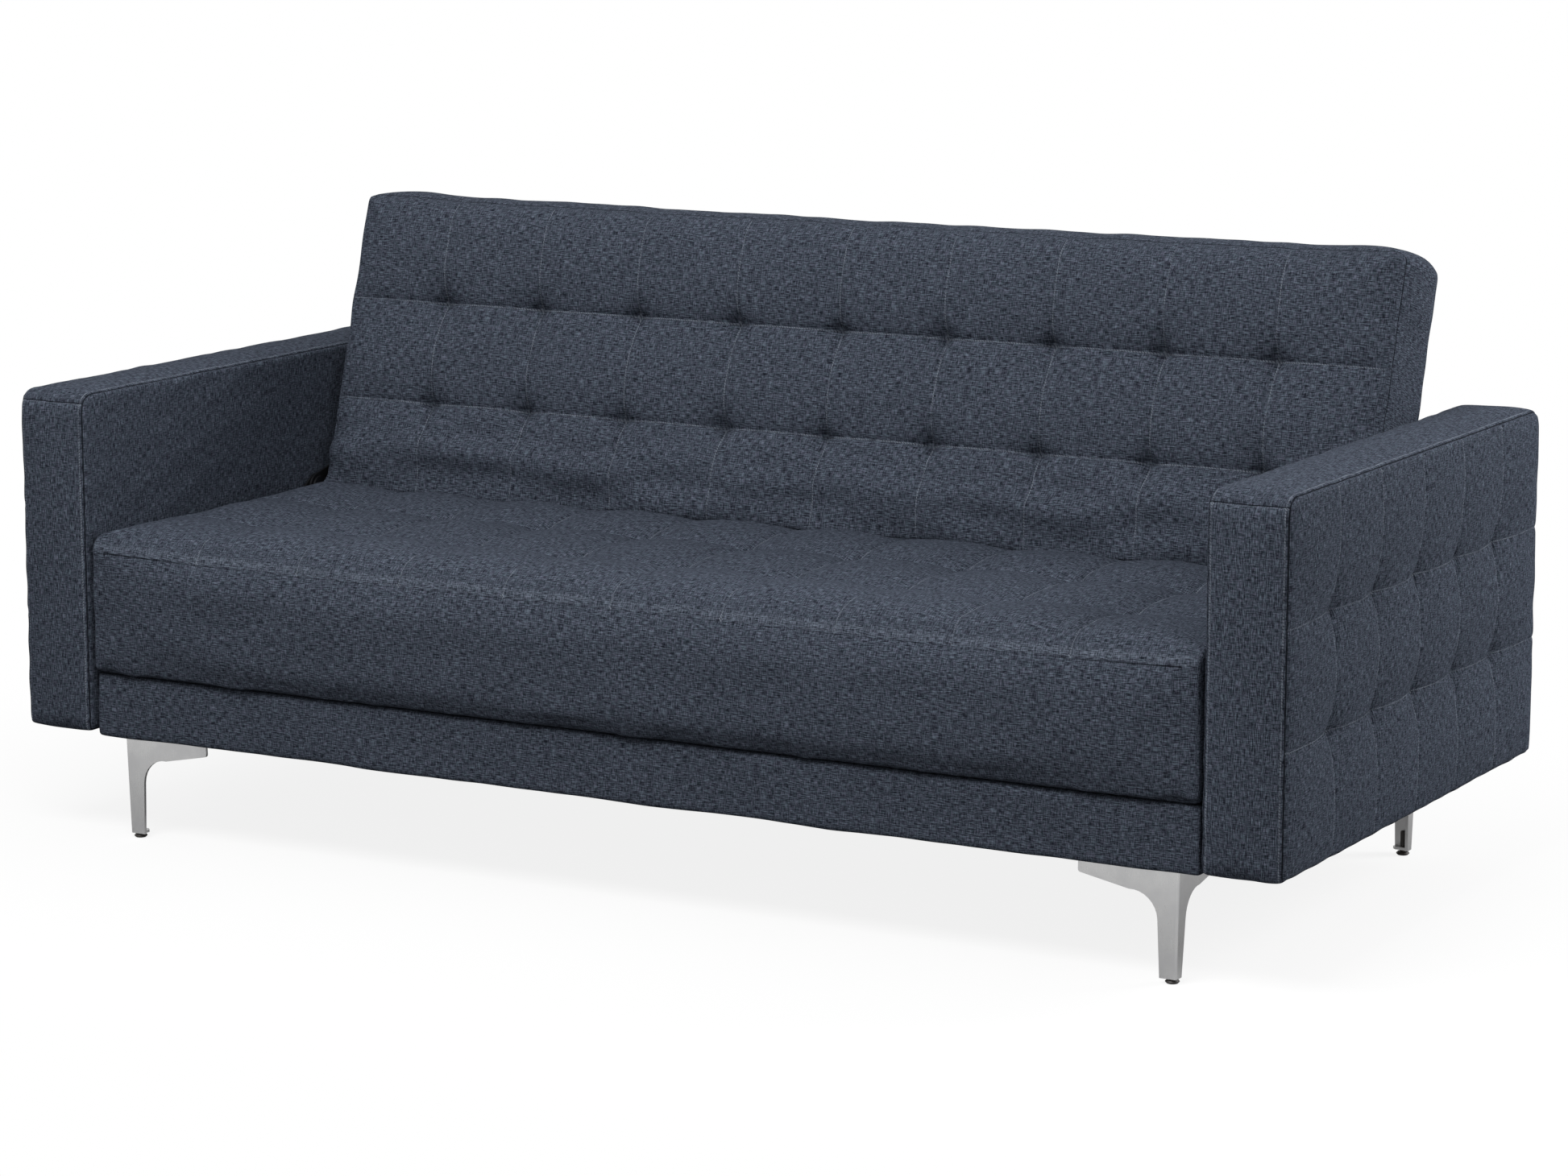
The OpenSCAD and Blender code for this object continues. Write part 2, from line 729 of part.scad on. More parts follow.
module hinge_bracket_bolts() {
    x1 = bracket_x + plate_t;
    steel() both_sides() for (p = bracket_bolts) {
        rod_x(p, bolt_head_r, x1, x1 + bolt_head_h);
        rod_x(p, bolt_r, base_half - rail_t - 6, x1 + 1);
        rod_x(p, bolt_head_r - 1, base_half - rail_t - 5, base_half - rail_t);
    }
}

// Riveted pins through all three plates, the axis of both the seat and the backrest
module hinge_pins() {
    x1 = bracket_x + plate_t;
    steel() both_sides() {
        rod_x(pin, pin_r, seat_plate_x + 0.2, x1 + 1);
        rod_x(pin, pin_r + 4, x1, x1 + bolt_head_h);
    }
}

// Strap on the seat's side, turning on the pin at its rear end
module hinge_seat_plate(s) {
    strap_r = 17;
    steel() on_side(s) difference() {
        sheet_yz(seat_plate_x, plate_t) {
            link(pin, boss_r - 4, seat_plate_bolt_spots[0], strap_r);
            link(seat_plate_bolt_spots[0], strap_r, seat_plate_bolt_spots[2], strap_r);
        }
        rod_x(pin, pin_r + slip, seat_plate_x - 1, seat_plate_x + plate_t + 1);
        for (p = seat_plate_bolt_spots)
            rod_x(p, bolt_r + bolt_slack, seat_plate_x - 1, seat_plate_x + plate_t + 1);
    }
}

module seat_plate_bolts() {
    x1 = seat_plate_x + plate_t;
    steel() both_sides() for (p = seat_plate_bolt_spots) {
        rod_x(p, bolt_head_r, x1, x1 + bolt_head_h);
        rod_x(p, bolt_r, seat_in - member_t - 6, x1 + 1);
        rod_x(p, bolt_head_r - 1, seat_in - member_t - 5, seat_in - member_t);
    }
}

// A notch that tapers inwards, for the fold angle a of the backrest; the nose comes in on an arc
module notch(a) {
    half_in = nose_half + 0.9;
    half_out = nose_half + 2.4;
    drift = pawl_reach * (1 - cos(pawl_swing)) + 0.4;
    root = nose_r - nose_travel - 0.5;
    rotate(pawl_dir + a) polygon([[root, -half_in - drift], [sector_r + 1, -half_out],
        [sector_r + 1, half_out], [root, half_in - drift]]);
}

// Ratchet sector round the pin, from before the release notch to past the flat one
module sector() {
    a0 = pawl_dir - fold_release - 14;
    a1 = pawl_dir + fold_flat + 14;
    n = 16;
    difference() {
        polygon(concat([[0, 0]], arc([0, 0], sector_r, a0, a1, n)));
        for (a = [-fold_release, 0, fold_recline, fold_flat]) notch(a);
    }
}

// Plate with the ratchet sector, its arm runs up the backrest's side
module hinge_back_plate(s) {
    strap_r = 18;
    low = back_plate_bolt_spots[0];
    high = back_plate_bolt_spots[2];
    steel() on_side(s) difference() {
        union() {
            sheet_yz(back_plate_x, plate_t) translate(pin) sector();
            lean_back() sheet_yz(back_plate_x, plate_t) {
                link([0, 0], boss_r, low, strap_r);
                link(low, strap_r, high, strap_r);
            }
        }
        rod_x(pin, pin_r + slip, back_plate_x - 1, back_plate_x + plate_t + 1);
        lean_back() for (p = back_plate_bolt_spots)
            rod_x(p, bolt_r + bolt_slack, back_plate_x - 1, back_plate_x + plate_t + 1);
    }
}

// Bushes that stand the plate's arm off the cushion
module back_plate_spacers() {
    steel() lean_back() both_sides() for (p = back_plate_bolt_spots) difference() {
        rod_x(p, bolt_head_r, back_half, back_plate_x);
        rod_x(p, bolt_r + bolt_slack, back_half - 1, back_plate_x + 1);
    }
}

module back_plate_bolts() {
    x1 = back_plate_x + plate_t;
    steel() lean_back() both_sides() for (p = back_plate_bolt_spots) {
        rod_x(p, bolt_head_r, x1, x1 + bolt_head_h);
        rod_x(p, bolt_r, back_in - member_t - 6, x1 + 1);
        rod_x(p, bolt_head_r - 1, back_in - member_t - 5, back_in - member_t);
    }
}

// Pawl on the bracket, drawn lifted just clear of the sector; its nose drops into a notch
module pawl(s) {
    head_r = 4;
    head = pin + (nose_r + nose_travel + 1.5 + head_r) * toward;
    steel() on_side(s) difference() {
        sheet_yz(back_plate_x, plate_t) {
            link(pawl_pin, 9, head, head_r);
            link(head, head_r, pin + (nose_r + nose_half) * toward, nose_half);
            link(pawl_pin, 9, pawl_pin - 24 * across + 8 * toward, 5);
        }
        rod_x(pawl_pin, pawl_pin_r + slip, back_plate_x - 1, back_plate_x + plate_t + 1);
    }
}

module pawl_rivets() {
    x1 = bracket_x + plate_t;
    steel() both_sides() {
        rod_x(pawl_pin, pawl_pin_r, back_plate_x, x1 + 0.5);
        rod_x(pawl_pin, pawl_pin_r + 3, x1, x1 + 2);
    }
}

// ---------------------------------------------------------------- the nodes

base_front_rail();
base_rear_rail();
base_side_rail(LEFT);  // base_side_rail_left
base_side_rail(RIGHT);  // base_side_rail_right
base_cross_rails();
base_corner_blocks();
base_apron_front();
base_apron_rear();
base_side_tapes();
base_underlining();
leg(LEFT, FRONT);  // leg_front_left
leg(RIGHT, FRONT);  // leg_front_right
leg(LEFT, REAR);  // leg_rear_left
leg(RIGHT, REAR);  // leg_rear_right
leg_screws();
glide(LEFT, FRONT);  // glide_front_left
glide(RIGHT, FRONT);  // glide_front_right
glide(LEFT, REAR);  // glide_rear_left
glide(RIGHT, REAR);  // glide_rear_right
arm_band(LEFT);  // arm_band_left
arm_band(RIGHT);  // arm_band_right
arm_outer_pad(LEFT);  // arm_outer_pad_left
arm_outer_pad(RIGHT);  // arm_outer_pad_right
arm_inner_panel(LEFT);  // arm_inner_panel_left
arm_inner_panel(RIGHT);  // arm_inner_panel_right
arm_posts(LEFT);  // arm_posts_left
arm_posts(RIGHT);  // arm_posts_right
arm_rails(LEFT);  // arm_rails_left
arm_rails(RIGHT);  // arm_rails_right
arm_spacers();
arm_bolts();
seat_cushion();
seat_front_rail();
seat_rear_rail();
seat_side_rails();
seat_cross_rails();
seat_springs();
seat_underlining();
back_cushion();
back_top_rail();
back_bottom_rail();
back_stiles();
back_webbing();
back_rear_panel();
hinge_bracket(LEFT);  // hinge_bracket_left
hinge_bracket(RIGHT);  // hinge_bracket_right
hinge_seat_plate(LEFT);  // hinge_seat_plate_left
hinge_seat_plate(RIGHT);  // hinge_seat_plate_right
hinge_back_plate(LEFT);  // hinge_back_plate_left
hinge_back_plate(RIGHT);  // hinge_back_plate_right
hinge_pins();
hinge_bracket_bolts();
seat_plate_bolts();
back_plate_bolts();
back_plate_spacers();
pawl(LEFT);  // pawl_left
pawl(RIGHT);  // pawl_right
pawl_rivets();
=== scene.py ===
"""Looks of the three-seat click-clack sofa bed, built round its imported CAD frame.

Every padded piece starts as a closed lattice of quads whose lines run along its seams and quilting
stitches. It is rounded, quilted, inflated by the cloth solver and subdivided, and then gets its
grooves and wrinkles. All lengths are in metres.
"""
import json
import math

import bpy
import numpy as np
from mathutils import Matrix, Vector


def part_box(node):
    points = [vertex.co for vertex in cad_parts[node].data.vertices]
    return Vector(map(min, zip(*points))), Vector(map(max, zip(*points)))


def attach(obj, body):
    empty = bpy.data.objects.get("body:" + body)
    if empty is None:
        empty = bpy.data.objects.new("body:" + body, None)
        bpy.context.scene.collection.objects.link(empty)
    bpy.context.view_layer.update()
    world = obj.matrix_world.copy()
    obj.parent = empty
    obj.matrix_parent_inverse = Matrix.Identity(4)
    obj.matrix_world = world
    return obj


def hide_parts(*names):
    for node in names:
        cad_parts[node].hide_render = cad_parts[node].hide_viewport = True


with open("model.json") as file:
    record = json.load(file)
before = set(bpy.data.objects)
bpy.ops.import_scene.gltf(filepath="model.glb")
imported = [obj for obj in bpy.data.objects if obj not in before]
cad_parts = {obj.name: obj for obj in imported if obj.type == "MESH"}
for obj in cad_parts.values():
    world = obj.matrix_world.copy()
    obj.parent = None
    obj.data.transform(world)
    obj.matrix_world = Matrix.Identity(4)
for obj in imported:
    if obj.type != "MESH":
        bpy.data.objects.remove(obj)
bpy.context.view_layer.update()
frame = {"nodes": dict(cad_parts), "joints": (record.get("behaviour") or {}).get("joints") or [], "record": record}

# ------------------------------------------------------------------ places, from the CAD frame

LEAN = math.radians(16.5)                 # of the backrest, from upright
BACK_LENGTH, BACK_DEPTH = 0.468, 0.143    # of the back cushion, in its own leaning frame
QUILT_PITCH = 0.1735                      # between the stitched lines of the seat and the back
ON = 1e-4                                 # a point nearer than this to a line or face is on it
joint_pos = {j["name"]: j.get("pos_m") for j in frame["joints"]}
PIN = Vector(joint_pos["back_fold"])
seat_lo, seat_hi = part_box("seat_cushion")
back_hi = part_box("back_cushion")[1]
back_turn = Matrix.Translation(PIN) @ Matrix.Rotation(-LEAN, 4, "X")


# ------------------------------------------------------------------ lattices and their shaping

def graded(stops, counts, bias=0.5):
    """Lines through all the stops, with counts[i] steps in stretch i, finer next to the stops."""
    lines = [stops[0]]
    for a, b, n in zip(stops, stops[1:], counts):
        for i in range(1, n + 1):
            even = i / n
            eased = 0.5 - 0.5 * math.cos(math.pi * even)
            lines.append(a + (b - a) * ((1 - bias) * even + bias * eased))
    return np.array(lines)


def lattice(xs, ys, zs):
    """Closed surface of the box that three lists of lines span: its points, its quads and the
    side that each quad lies on."""
    index, points, quads, sides = {}, [], [], []

    def at(i, j, k):
        if (i, j, k) not in index:
            index[i, j, k] = len(points)
            points.append((xs[i], ys[j], zs[k]))
        return index[i, j, k]

    def panel(na, nb, place, side, flipped):
        for a in range(na):
            for b in range(nb):
                quad = [at(*place(*ab)) for ab in ((a, b), (a + 1, b), (a + 1, b + 1), (a, b + 1))]
                quads.append(quad[::-1] if flipped else quad)
                sides.append(side)

    nx, ny, nz = len(xs) - 1, len(ys) - 1, len(zs) - 1
    panel(nx, ny, lambda a, b: (a, b, 0), "-z", True)
    panel(nx, ny, lambda a, b: (a, b, nz), "+z", False)
    panel(nx, nz, lambda a, b: (a, 0, b), "-y", False)
    panel(nx, nz, lambda a, b: (a, ny, b), "+y", True)
    panel(ny, nz, lambda a, b: (0, a, b), "-x", True)
    panel(ny, nz, lambda a, b: (nx, a, b), "+x", False)
    return np.array(points), quads, sides


def round_box(p, plane, depth, corners, rims):
    """Rounds a box lattice: its outline in the plane of two axes gets four corner radii, counted
    from low-low round to low-high, and its two ends along the depth axis get rim radii."""
    p = p.copy()
    flat = p[:, plane]
    lo, hi = flat.min(0), flat.max(0)
    outward = np.zeros_like(flat)
    inside = np.full(len(p), np.inf)
    for axis in (0, 1):
        for end, sign in ((lo, -1), (hi, 1)):
            away = np.abs(end[axis] - flat[:, axis])
            nearer = away < inside
            inside[nearer] = away[nearer]
            outward[nearer] = 0
            outward[nearer, axis] = sign
    spots = (((lo[0], lo[1]), (1, 1)), ((hi[0], lo[1]), (-1, 1)),
             ((hi[0], hi[1]), (-1, -1)), ((lo[0], hi[1]), (1, -1)))
    for (spot, inward), r in zip(spots, corners):
        centre = np.array(spot) + r * np.array(inward)
        d = flat - centre
        here = np.all(d * np.array(inward) < 0, axis=1)
        length = np.linalg.norm(d[here], axis=1)
        unit = d[here] / np.maximum(length, 1e-9)[:, None]
        reach = np.abs(d[here]).max(1)
        flat[here] = centre + unit * reach[:, None]
        outward[here] = unit
        inside[here] = r - reach
    c = p[:, depth].copy()
    ends = ((c.min(), 1, rims[0]), (c.max(), -1, rims[1]))
    for end, sign, r in ends:
        t = (c - end) * sign
        here = (t < r) & (inside < r)
        d = np.stack([r - inside[here], r - t[here]], 1)
        reach = np.abs(d).max(1)
        d *= (reach / np.maximum(np.linalg.norm(d, axis=1), 1e-9))[:, None]
        flat[here] += outward[here] * (inside[here] - (r - d[:, 0]))[:, None]
        c[here] = end + sign * (r - d[:, 1])
    p[:, plane] = flat
    p[:, depth] = c
    return p


def near(values, lines):
    """Distance of each value from the nearest of the lines."""
    return np.abs(values[:, None] - np.array(lines)[None, :]).min(1)


def away(distance, width):
    """0 on a line, near 1 once further from it than the width: a pillow's rise between stitches."""
    return 1 - np.exp(-(distance / width) ** 1.4)


def smooth(t):
    """An eased step from 0 at t = 0 to 1 at t = 1."""
    t = np.clip(t, 0, 1)
    return t * t * (3 - 2 * t)


def ripple(u, v, wave, seed, stretch=1.0):
    """Smooth seeded unevenness, about -1 to 1, its waves stretched along u."""
    count = 14
    rng = np.random.default_rng(seed)
    total = np.zeros_like(u)
    for _ in range(count):
        angle, phase = rng.uniform(0, 2 * math.pi, 2)
        k = 2 * math.pi / (wave * rng.uniform(0.7, 1.5))
        total += np.sin(k * (u * math.cos(angle) / stretch + v * math.sin(angle)) + phase)
    return total * math.sqrt(2 / count) / 2


def mesh_of(name, points, quads):
    mesh = bpy.data.meshes.new(name)
    mesh.from_pydata([tuple(q) for q in points], [], [tuple(q) for q in quads])
    mesh.update()
    return mesh


def positions(mesh):
    co = np.empty(len(mesh.vertices) * 3)
    mesh.vertices.foreach_get("co", co)
    return co.reshape(-1, 3)


def normals(mesh):
    n = np.empty(len(mesh.vertices) * 3)
    mesh.vertices.foreach_get("normal", n)
    return n.reshape(-1, 3)


def place_points(mesh, co):
    mesh.vertices.foreach_set("co", np.asarray(co, np.float32).ravel())
    mesh.update()


CLOTH_PRESSURE, CLOTH_FRAMES = 4.0, 20


def inflate(points, quads, hold, cap):
    """Swells a closed lattice with the cloth solver. hold is each point's pin weight, and no point
    moves further than cap."""
    mesh = mesh_of("swelling", points, quads)
    pad = bpy.data.objects.new("swelling", mesh)
    bpy.context.scene.collection.objects.link(pad)
    pins = pad.vertex_groups.new(name="pins")
    for weight in np.unique(hold):
        pins.add([int(i) for i in np.nonzero(hold == weight)[0]], float(weight), "REPLACE")
    cloth = pad.modifiers.new("cloth", "CLOTH")
    settings = cloth.settings
    settings.quality = 6
    settings.mass = 0.3
    settings.tension_stiffness = settings.compression_stiffness = 12
    settings.shear_stiffness = 4
    settings.bending_stiffness = 0.4
    settings.vertex_group_mass = "pins"
    settings.pin_stiffness = 1.0
    settings.use_pressure = True
    settings.uniform_pressure_force = CLOTH_PRESSURE
    settings.effector_weights.gravity = 0
    cloth.collision_settings.use_collision = False
    cloth.point_cache.frame_start, cloth.point_cache.frame_end = 1, CLOTH_FRAMES
    scene = bpy.context.scene
    for frame_number in range(1, CLOTH_FRAMES + 1):
        scene.frame_set(frame_number)
    result = positions(pad.evaluated_get(bpy.context.evaluated_depsgraph_get()).data)
    scene.frame_set(1)
    bpy.data.objects.remove(pad)
    bpy.data.meshes.remove(mesh)
    move = result - points
    size = np.linalg.norm(move, axis=1)
    return points + move * (np.minimum(size, cap) / np.maximum(size, 1e-9))[:, None]


def subdivided(name, points, quads, uv, rest):
    """A smooth object from a lattice. Its UV map holds the cloth's own coordinates in metres, and
    its attribute "rest" each point's place in the lattice."""
    mesh = mesh_of(name, points, quads)
    layer = mesh.uv_layers.new(name="cloth")
    layer.uv.foreach_set("vector", np.asarray(uv, np.float32).ravel())
    store(mesh, "rest", rest)
    piece = bpy.data.objects.new(name, mesh)
    bpy.context.scene.collection.objects.link(piece)
    surf = piece.modifiers.new("surf", "SUBSURF")
    surf.levels = surf.render_levels = 1
    surf.uv_smooth = "NONE"
    evaluated = piece.evaluated_get(bpy.context.evaluated_depsgraph_get())
    fine = bpy.data.meshes.new_from_object(evaluated)
    piece.modifiers.clear()
    piece.data = fine
    fine.name = name
    piece.data.shade_smooth()
    return piece


def store(mesh, name, values):
    values = np.asarray(values, np.float32)
    kind = "FLOAT_VECTOR" if values.ndim == 2 else "FLOAT"
    attribute = mesh.attributes.get(name) or mesh.attributes.new(name, kind, "POINT")
    attribute.data.foreach_set("vector" if values.ndim == 2 else "value", values.ravel())


def stored(mesh, name):
    values = np.empty(len(mesh.vertices) * 3)
    mesh.attributes[name].data.foreach_get("vector", values)
    return values.reshape(-1, 3)


def unfolded(rest, quads, sides, middle):
    """Cloth coordinates of each quad's corners, as if the box were unfolded from its middle
    side."""
    lo, hi = rest.min(0), rest.max(0)
    a, b = [i for i in range(3) if i != "xyz".index(middle[1])]
    c = "xyz".index(middle[1])
    top = hi[c] if middle[0] == "+" else lo[c]
    uv = []
    for quad, side in zip(quads, sides):
        for i in quad:
            p = rest[i]
            u, v = p[a], p[b]
            drop = abs(p[c] - top)
            if side[1] == "xyz"[a]:
                u = hi[a] + drop if side[0] == "+" else lo[a] - drop
            elif side[1] == "xyz"[b]:
                v = hi[b] + drop if side[0] == "+" else lo[b] - drop
            uv.append((u, v))
    return uv


# ------------------------------------------------------------------ materials

class Shader:
    """A material's node tree, with short calls for the nodes that the materials use."""

    def __init__(self, name):
        self.material = bpy.data.materials.new(name)
        self.material.use_nodes = True
        self.nodes, self.links = self.material.node_tree.nodes, self.material.node_tree.links
        self.surface = next(n for n in self.nodes if n.type == "BSDF_PRINCIPLED")

    def put(self, kind, inputs=(), **settings):
        node = self.nodes.new(kind)
        for key, value in settings.items():
            setattr(node, key, value)
        for socket, value in dict(inputs).items():
            self.feed(node.inputs[socket], value)
        return node

    def feed(self, socket, value):
        if isinstance(value, bpy.types.NodeSocket):
            self.links.new(value, socket)
        else:
            socket.default_value = value

    def math(self, operation, a, b=0.0):
        return self.put("ShaderNodeMath", {0: a, 1: b}, operation=operation).outputs[0]

    def ramp(self, value, low, high, out_low=0.0, out_high=1.0):
        ins = {"Value": value, "From Min": low, "From Max": high,
               "To Min": out_low, "To Max": out_high}
        return self.put("ShaderNodeMapRange", ins, interpolation_type="SMOOTHSTEP").outputs[0]

    def mix(self, factor, a, b, blend="MIX"):
        node = self.put("ShaderNodeMix", data_type="RGBA", blend_type=blend)
        self.feed(node.inputs["Factor"], factor)
        self.feed(node.inputs[6], a)
        self.feed(node.inputs[7], b)
        return node.outputs[2]

    def noise(self, vector, scale, detail, rough=0.5, stretch=(1, 1, 1)):
        moved = self.put("ShaderNodeVectorMath", {0: vector, 1: stretch}, operation="MULTIPLY")
        ins = {"Vector": moved.outputs[0], "Scale": scale, "Detail": detail, "Roughness": rough}
        return self.put("ShaderNodeTexNoise", ins).outputs[0]

    def attribute(self, name):
        return self.put("ShaderNodeAttribute", attribute_name=name).outputs["Fac"]

    def bump(self, height, distance, strength, under=None):
        ins = {"Height": height, "Distance": distance, "Strength": strength}
        if under is not None:
            ins["Normal"] = under
        return self.put("ShaderNodeBump", ins).outputs[0]

    def object_place(self):
        return self.put("ShaderNodeTexCoord").outputs["Object"]

    def finish(self, **sockets):
        for name, value in sockets.items():
            self.feed(self.surface.inputs[name.replace("_", " ")], value)
        return self.material


def rgb(r, g, b):
    """A colour given as it looks on screen, 0 to 255, for a shader socket."""
    def linear(c):
        c /= 255
        return c / 12.92 if c <= 0.04045 else ((c + 0.055) / 1.055) ** 2.4
    return (linear(r), linear(g), linear(b), 1.0)


THREAD = 0.0012          # between the threads of the cover's weave
STITCH = 0.0042          # from one quilting stitch to the next
COVER_DARK, COVER_LIGHT = rgb(32, 36, 44), rgb(122, 130, 143)


def cover_fabric():
    """Heathered linen-look plain weave, with quilting stitches and seams where attributes say."""
    s = Shader("cover_fabric")
    uv = s.put("ShaderNodeUVMap", uv_map="cloth").outputs[0]
    split = s.put("ShaderNodeSeparateXYZ", {0: uv})
    u, v = split.outputs[0], split.outputs[1]
    warp = s.math("DIVIDE", u, THREAD)
    weft = s.math("DIVIDE", v, THREAD)
    cross = s.math("MULTIPLY", s.math("SINE", s.math("MULTIPLY", warp, math.pi)),
                   s.math("SINE", s.math("MULTIPLY", weft, math.pi)))
    crown = s.math("SQRT", s.math("ABSOLUTE", cross))

    # Heathered yarn: tone that runs along the threads of each direction, and short flecks
    weft_run = s.noise(uv, 1.0, 1.0, 0.5, (90, 760, 1))
    warp_run = s.noise(uv, 1.0, 1.0, 0.5, (760, 100, 1))
    fleck = s.noise(uv, 1.0, 1.0, 0.5, (500, 800, 1))
    tone = s.math("ADD", weft_run, s.math("MULTIPLY", warp_run, 0.7))
    tone = s.math("ADD", tone, s.math("MULTIPLY", fleck, 0.3))
    level = s.put("ShaderNodeMapRange", {"Value": tone, "From Min": 0.71, "From Max": 1.29})
    level = s.math("POWER", level.outputs[0], 1.6)
    colour = s.mix(level, COVER_DARK, COVER_LIGHT)
    hue = s.math("SUBTRACT", warp_run, weft_run)
    tint = s.mix(s.ramp(hue, -0.2, 0.2), rgb(114, 134, 138), rgb(137, 124, 144))
    colour = s.mix(0.5, colour, tint, "OVERLAY")
    cloudy = s.ramp(s.noise(uv, 7, 2.0, 0.5), 0.3, 0.7, 0.98, 1.02)
    gaps = s.math("MULTIPLY", s.ramp(crown, 0.0, 0.5, 0.7, 1.0), cloudy)
    gaps = s.put("ShaderNodeCombineXYZ", {0: gaps, 1: gaps, 2: gaps}).outputs[0]
    colour = s.mix(1.0, colour, gaps, "MULTIPLY")

    # Quilting thread: light dashes down the middle of each groove
    run = s.math("ADD", u, v)
    dash = s.ramp(s.math("SINE", s.math("MULTIPLY", run, 2 * math.pi / STITCH)), -0.75, -0.35)
    stitch = s.attribute("stitch")
    thread = s.math("MULTIPLY", s.ramp(stitch, 0.0005, 0.0011, 1.0, 0.0), dash)
    thread = s.math("MULTIPLY", thread, s.ramp(s.noise(uv, 38, 2.0), 0.36, 0.62, 0.3, 0.8))
    colour = s.mix(thread, colour, rgb(120, 127, 138))
    # Seams: a dark joint line with a little shadow beside it
    seam = s.attribute("seam")
    joint = s.ramp(seam, 0.0003, 0.0015, 0.85, 0.0)
    colour = s.mix(joint, colour, rgb(15, 17, 22))

    # Painted shade where a tuft's knot draws the cover in, and a painted highlight on the rounded band above the
    # seat's front seam
    hollow = s.attribute("hollow")
    colour = s.mix(s.math("MULTIPLY", s.math("MAXIMUM", hollow, 0.0), 0.7), colour, rgb(20, 23, 30))
    painted_highlight = s.math("MULTIPLY", s.math("MAXIMUM", s.math("MULTIPLY", hollow, -1.0), 0.0), level)
    colour = s.mix(painted_highlight, colour, rgb(128, 137, 151))

    height = s.math("ADD", s.math("MULTIPLY", crown, 0.5), s.math("MULTIPLY", tone, 1.2))
    height = s.math("ADD", height, s.math("MULTIPLY", thread, 1.6))
    height = s.math("SUBTRACT", height, s.math("MULTIPLY", joint, 2.0))
    soft = s.bump(s.noise(uv, 60, 2.0, 0.5), 0.0006, 0.5)
    normal = s.bump(height, 0.0004, 1.0, soft)
    return s.finish(Base_Color=colour, Roughness=s.ramp(level, 0.0, 1.0, 0.97, 0.86), Normal=normal,
                    Specular_IOR_Level=0.02)


def lining_fabric():
    """Thin black non-woven sheet with its embossed dots."""
    s = Shader("lining")
    place = s.object_place()
    fibres = s.noise(place, 260, 4.0, 0.7)
    dots = s.put("ShaderNodeTexVoronoi", {"Vector": place, "Scale": 330.0}).outputs["Distance"]
    colour = s.mix(s.ramp(fibres, 0.3, 0.7), rgb(30, 30, 32), rgb(58, 58, 61))
    height = s.math("ADD", fibres, s.ramp(dots, 0.1, 0.35))
    return s.finish(Base_Color=colour, Roughness=0.92, Normal=s.bump(height, 0.0003, 0.7),
                    Specular_IOR_Level=0.2)


def raw_wood():
    """Sawn softwood: growth rings stretched along the grain, and finer darker fibres."""
    s = Shader("frame_wood")
    place = s.object_place()
    grain = s.noise(place, 34, 5.0, 0.62, (0.12, 0.9, 1.0))
    fine = s.noise(place, 260, 3.0, 0.6, (0.06, 1, 1))
    rings = s.math("SINE", s.math("MULTIPLY", grain, 46.0))
    colour = s.mix(s.ramp(rings, -0.6, 0.9), rgb(196, 160, 112), rgb(226, 198, 152))
    colour = s.mix(s.ramp(fine, 0.35, 0.7, 0.0, 0.45), colour, rgb(158, 120, 80))
    height = s.math("ADD", s.math("MULTIPLY", rings, 0.3), fine)
    return s.finish(Base_Color=colour, Roughness=s.ramp(fine, 0.3, 0.7, 0.62, 0.85),
                    Normal=s.bump(height, 0.0006, 0.6))


def metal(name, colour, rough, worn=None):
    """Metal with fine upright finish marks, a little duller or darker in clouds."""
    s = Shader(name)
    place = s.object_place()
    lines = s.noise(place, 900, 3.0, 0.6, (1, 1, 0.05))
    clouds = s.noise(place, 24, 3.0, 0.55)
    worn = worn or tuple(c * 0.86 for c in colour[:3]) + (1,)
    tone = s.mix(s.ramp(clouds, 0.3, 0.7), colour, worn)
    roughness = s.ramp(s.math("ADD", lines, clouds), 0.7, 1.3, rough - 0.04, rough + 0.08)
    return s.finish(Base_Color=tone, Metallic=1.0, Roughness=roughness,
                    Normal=s.bump(lines, 0.00004, 0.5))


def moulded(name, colour, rough):
    """Moulded plastic with a fine spark-eroded grain."""
    s = Shader(name)
    place = s.object_place()
    grain = s.noise(place, 1400, 2.0, 0.5)
    scuff = s.noise(place, 90, 4.0, 0.7)
    scuffed = tuple(min(1, c * 1.9) for c in colour[:3]) + (1,)
    tone = s.mix(s.ramp(scuff, 0.45, 0.75), colour, scuffed)
    return s.finish(Base_Color=tone, Roughness=s.ramp(scuff, 0.3, 0.7, rough - 0.06, rough + 0.12),
                    Normal=s.bump(grain, 0.00008, 0.6))


def webbing_fabric():
    """Ribbed elastic webbing with a fibrous face."""
    s = Shader("webbing")
    place = s.object_place()
    across = s.put("ShaderNodeSeparateXYZ", {0: place}).outputs[0]
    ribs = s.math("SINE", s.math("MULTIPLY", across, 2600.0))
    fibres = s.noise(place, 500, 3.0, 0.6)
    colour = s.mix(s.ramp(fibres, 0.3, 0.7), rgb(150, 138, 108), rgb(196, 184, 152))
    height = s.math("ADD", ribs, fibres)
    return s.finish(Base_Color=colour, Roughness=0.9, Normal=s.bump(height, 0.0003, 0.7))


MATERIALS = {
    "cover_fabric": cover_fabric(),
    "lining": lining_fabric(),
    "frame_wood": raw_wood(),
    "spring_steel": metal("spring_steel", rgb(120, 122, 126), 0.42),
    "webbing": webbing_fabric(),
    "leg_metal": metal("leg_metal", rgb(198, 198, 198), 0.3, worn=rgb(189, 189, 190)),
    "glide_plastic": moulded("glide_plastic", rgb(46, 42, 40), 0.42),
    "hinge_steel": metal("hinge_steel", rgb(58, 59, 62), 0.5, worn=rgb(44, 45, 48)),
    "spacer_plastic": moulded("spacer_plastic", rgb(34, 34, 36), 0.5),
}


